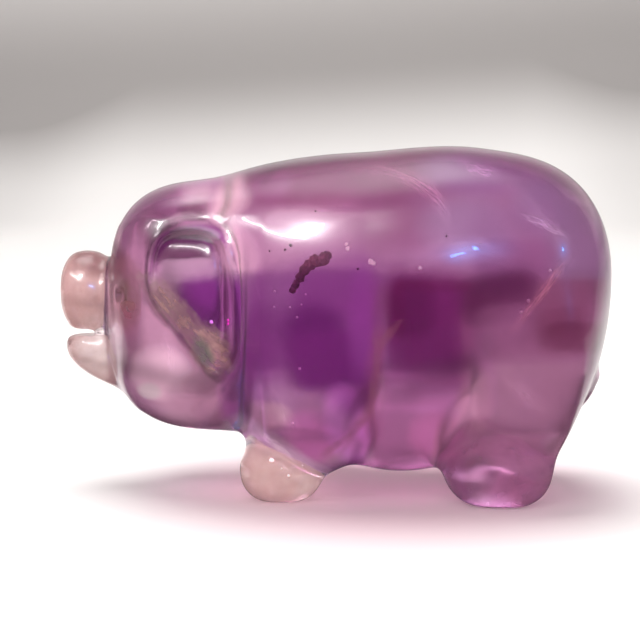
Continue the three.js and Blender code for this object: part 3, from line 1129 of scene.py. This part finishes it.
# Crumbly iron oxide, flush with the polish: matt, and broken up by the grain of the quartz.
oxide, tree = empty_material("iron oxide seam")
growth = growth_frame(tree, wander_by=0.5)
crumbs = node(
    tree,
    "ShaderNodeTexNoise",
    inputs={"Scale": CRUMBS_PER_MM, "Detail": 5},
    links={"Vector": growth},
)
pale_share = zone_share(tree, growth, *PALE_ZONE, softness=0.6)
seam_tint = node(
    tree,
    "ShaderNodeMix",
    {"data_type": "RGBA"},
    {6: linear(SEAM_BROWN), 7: linear(SEAM_PALE)},
    {"Factor": pale_share},
)
seam_share = node(tree, "ShaderNodeMath", {"operation": "MULTIPLY"}, {1: PALE_COVER}, {0: pale_share})
for middle, half, turn in SEAM_STRETCHES:
    stretch = zone_share(tree, growth, middle, half, turn, softness=0.8)
    seam_share = node(
        tree,
        "ShaderNodeMath",
        {"operation": "MAXIMUM"},
        links={0: seam_share.outputs["Value"], 1: stretch},
    )
crumbled = node(
    tree,
    "ShaderNodeMath",
    {"operation": "MULTIPLY"},
    links={0: seam_share.outputs["Value"], 1: crumbs.outputs["Fac"]},
)
thin = node(
    tree,
    "ShaderNodeMath",
    {"operation": "MULTIPLY"},
    {1: SEAM_COVER},
    {0: crumbled.outputs["Value"]},
)
shader = node(
    tree,
    "ShaderNodeBsdfPrincipled",
    inputs={"Roughness": 0.7},
    links={"Base Color": seam_tint.outputs[2], "Alpha": thin.outputs["Value"]},
)
node(tree, "ShaderNodeOutputMaterial", links={"Surface": shader.outputs["BSDF"]})
seam.data.materials.append(oxide)
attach(seam, "root")


# Specks under the polish: tiny bubbles and crystals, a few dark grains, and painted glints that glow: two
# grains in the near ear, white and pink, and the bright specks on the fore foot.
SPECK_DEPTH = 0.25
SPECK_LUMP_SIZE = 0.1 * MM
SPECK_LUMPINESS = 0.4
# Place and radius of each, as (u, w, radius) in mm.
# Painted glints: grains in the near ear that glow white and pink.
PAINTED_WHITE_GLINT = ((-8.3, 12.9, 0.13),)
PAINTED_PINK_GLINT = ((-7.25, 13, 0.1), (-7.25, 12.75, 0.1))
# Gas bubbles, and on the fore foot painted glints: all glow with painted light.
BUBBLES_AND_PAINTED_GLINTS = (
    (1.3, 18.1, 0.15),
    (1.2, 18.4, 0.12),
    (2.9, 17.2, 0.2),
    (3.1, 17.1, 0.15),
    (6.3, 16.8, 0.12),
    (-3.8, 15.1, 0.07),
    (-3.8, 14, 0.06),
    (-2.7, 14, 0.07),
    (-1.9, 14.2, 0.06),
    (-2.2, 13.3, 0.08),
    (-1.6, 14.9, 0.06),
    (-2.5, 5.8, 0.07),
    (-2, 9.7, 0.1),
    (15.3, 16.7, 0.1),
    (13.8, 14.6, 0.12),
    (13.3, 13.8, 0.09),
    (-4.1, 2.9, 0.17),
    (-2.9, 1.8, 0.09),
    (-3.4, 2.3, 0.06),
    (-1.9, 2.6, 0.06),
)
DARK_SPECKS = (
    (-2.7, 18.3, 0.12),
    (-3.1, 18, 0.09),
    (-4.2, 17.9, 0.07),
    (2, 16.7, 0.08),
    (-1, 20.7, 0.07),
    (8.1, 19, 0.07),
)


def specks(name, places, finish, colour, glow):
    """Small lumpy grains under the polish of the near flank, all in one piece.

    They are too small to show more than one tone each. The glow stands for light that they throw back.
    """
    bpy.ops.object.select_all(action="DESELECT")
    grains = []
    for seed, (u, w, radius) in enumerate(places):
        bpy.ops.mesh.primitive_ico_sphere_add(subdivisions=2, radius=radius * MM)
        grain = bpy.context.object
        lumpy(grain, SPECK_LUMP_SIZE, SPECK_LUMPINESS * radius * MM, seed)
        grain.location = in_stone(u, w, SPECK_DEPTH)
        grains.append(grain)
    for grain in grains:
        grain.select_set(True)
    bpy.ops.object.join()
    piece = bpy.context.object
    piece.name = name
    bpy.ops.object.transform_apply(location=True, rotation=False, scale=False)
    material, tree = empty_material(finish)
    shader = node(
        tree,
        "ShaderNodeBsdfPrincipled",
        inputs={
            "Base Color": linear(colour),
            "Roughness": 0.4,
            "Emission Color": linear(colour),
            "Emission Strength": glow,
        },
    )
    node(tree, "ShaderNodeOutputMaterial", links={"Surface": shader.outputs["BSDF"]})
    piece.data.materials.append(material)
    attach(piece, "root")


specks("painted_white_glint", PAINTED_WHITE_GLINT, "painted white glint in quartz", "#f4d8ff", glow=2)
specks("painted_pink_glint", PAINTED_PINK_GLINT, "painted pink glint in quartz", "#ff58cc", glow=1.5)
specks("bubbles_and_painted_glints", BUBBLES_AND_PAINTED_GLINTS, "gas bubbles and painted glints in quartz", "#fff4f4", glow=0.6)
specks("dark_specks", DARK_SPECKS, "iron oxide specks", "#6e4458", glow=0)


# Soft light: a white tent all round and a wide softbox high behind, which throws the shadow forward. Only
# the paper and the small lamps show in the polish, and a black flag lies in front for reflections, so the
# colour stays deep.
TENT_COLOUR = "#f6f1ee"
TENT_GLOW = 0.38
world = bpy.data.worlds.new("white tent")
bpy.context.scene.world = world
world.use_nodes = True
world.node_tree.nodes.clear()
tent = node(
    world.node_tree,
    "ShaderNodeBackground",
    inputs={"Color": linear(TENT_COLOUR), "Strength": TENT_GLOW},
)
node(world.node_tree, "ShaderNodeOutputWorld", links={"Surface": tent.outputs["Background"]})
world.cycles_visibility.glossy = False

# The flag lies just over the front of the floor, where only reflections see it.
FLAG_AT = (0, -290 * MM, 0.01 * MM)
FLAG_SIZE = (800 * MM, 600 * MM, 1)
bpy.ops.mesh.primitive_plane_add(size=1, location=FLAG_AT)
flag = bpy.context.object
flag.name = "black_flag"
flag.scale = FLAG_SIZE
bpy.ops.object.transform_apply(location=True, rotation=False, scale=True)
flag.visible_camera = False
flag.visible_diffuse = False
flag.visible_transmission = False
flag.visible_volume_scatter = False
flag.visible_shadow = False
cloth = bpy.data.materials.new("black velvet")
cloth.use_nodes = True
cloth.node_tree.nodes["Principled BSDF"].inputs["Base Color"].default_value = linear("#0a0a0a")
flag.data.materials.append(cloth)


# Each small lamp stands this many mm from the spot whose polish shows it.
LAMP_AWAY = 200


def mirrored_place(u, w):
    """Where a lamp stands so that the polish at (u, w) of the near flank throws it to the camera."""
    outside = from_layers @ Vector((u, OUTSIDE, w)) * MM
    _, spot, normal, _ = stone.ray_cast(outside, onward)
    return spot + (spot - camera.location).normalized().reflect(normal) * LAMP_AWAY * MM


def panel_lamp(name, start, end, width, power, colour):
    """A long lamp from one place to another, facing the stone.

    The polish shows it, and it lights nothing else.
    """
    middle = (start + end) / 2
    outwards = (middle - LOOK_AT).normalized()
    lengthwise = (end - start - outwards * (end - start).dot(outwards)).normalized()
    axes = Matrix((lengthwise, outwards.cross(lengthwise), outwards)).transposed()
    bpy.ops.object.light_add(type="AREA", location=middle, rotation=axes.to_euler())
    lamp = bpy.context.object
    lamp.name = name
    lamp.data.shape = "RECTANGLE"
    lamp.data.size = (end - start).length
    lamp.data.size_y = width * MM
    lamp.data.energy = power
    lamp.data.color = linear(colour)[:3]
    lamp.visible_camera = False
    lamp.visible_diffuse = False
    lamp.visible_transmission = False


def streak_lamp(name, start, end, width, power, colour):
    """A long lamp that the polish shows as a streak from one (u, w) to another."""
    panel_lamp(name, mirrored_place(*start), mirrored_place(*end), width, power, colour)


def point_lamp(name, u, w, size, power, colour):
    """A small lamp that the polish shows as one bright point."""
    place = mirrored_place(u, w)
    sideways = Vector((size / 2, 0, 0)) * MM
    panel_lamp(name, place - sideways, place + sideways, size, power, colour)


# The softbox, and a weaker one of its size in front that opens up the shadows.
SOFTBOX_AT = Vector((-50, 70, 400)) * MM
FILL_AT = Vector((-80, -260, 220)) * MM
SOFTBOX_SIZE = 240 * MM


def soft_lamp(name, place, power, colour):
    """A large square lamp that faces the stone and doesn't show in its polish."""
    turn = (place - LOOK_AT).to_track_quat("Z", "Y").to_euler()
    bpy.ops.object.light_add(type="AREA", location=place, rotation=turn)
    lamp = bpy.context.object
    lamp.name = name
    lamp.data.size = SOFTBOX_SIZE
    lamp.data.energy = power
    lamp.data.color = linear(colour)[:3]
    lamp.visible_glossy = False
    lamp.visible_camera = False


soft_lamp("softbox behind", SOFTBOX_AT, power=1.4, colour="#fffefd")
soft_lamp("front fill", FILL_AT, power=0.3, colour="#ffffff")

# The window that the back shows as a bright patch with a thin sill, and small lamps for the points of light
# on the neck, the rump and the fore foot. Places are u and w of the spot that shows the lamp.
WINDOW_WHITE = "#fffdfb"
GLINT_BLUE = "#409cff"
GLINT_WHITE = "#fff8f0"
streak_lamp("window sill", (-6.2, 20.2), (-1.6, 18.75), width=5, power=0.16, colour=WINDOW_WHITE)
streak_lamp("window corner", (-2, 19.45), (-0.6, 19.45), width=40, power=0.18, colour=WINDOW_WHITE)
streak_lamp("window pane", (-4.6, 20.2), (1.6, 20.2), width=50, power=0.05, colour="#fff0f2")
point_lamp("sill end", -6.9, 20.5, size=16, power=0.03, colour=WINDOW_WHITE)
point_lamp("blue point", 10.15, 18.2, size=6, power=0.02, colour=GLINT_BLUE)
point_lamp("blue point on the rump", 16.3, 18.1, size=7, power=0.022, colour=GLINT_BLUE)
point_lamp("glint on the foot", -4.2, 2.8, size=8, power=0.012, colour=GLINT_WHITE)
point_lamp("glint low on the foot", -3.3, 1.6, size=8, power=0.008, colour=GLINT_WHITE)
streak_lamp("blue streak", (8.4, 17.5), (9.4, 17.9), width=5, power=0.035, colour=GLINT_BLUE)

# Colours come out as they are set, with no film curve over them.
bpy.context.scene.view_settings.view_transform = "Standard"
